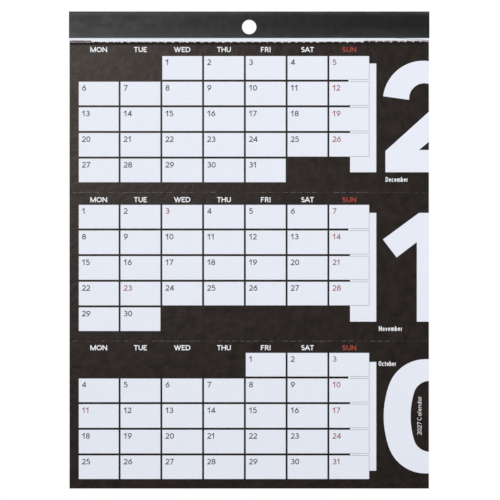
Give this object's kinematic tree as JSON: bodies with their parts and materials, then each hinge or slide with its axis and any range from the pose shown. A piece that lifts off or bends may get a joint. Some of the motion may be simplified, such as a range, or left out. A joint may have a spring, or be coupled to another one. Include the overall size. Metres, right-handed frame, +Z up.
{
  "type": "wall calendar",
  "caption": "Tear-off wall calendar with a folded header strip, a punched hanging hole, torn stubs and a dark printed leaf of perforated month strips.",
  "frame": {"origin": "centre of the punched hanging hole, in the middle of the folded strip's thickness", "axes": "+Z up along the hanging sheet, +X to the reader's right, -Y out of the printed side, +Y towards the wall"},
  "size_m": [0.21, 0.0014, 0.278],
  "materials": {
    "charcoal_card": "satin charcoal card",
    "white_paper": "uncoated white paper",
    "black_ink": "matte warm black print"
  },
  "bodies": {
    "root": {"header_strip": "charcoal_card", "october_december_leaf": "white_paper", "ground_print": "black_ink", "stub_july_september": "white_paper", "stub_april_june": "white_paper", "stub_january_march": "white_paper"}
  },
  "joints": []
}
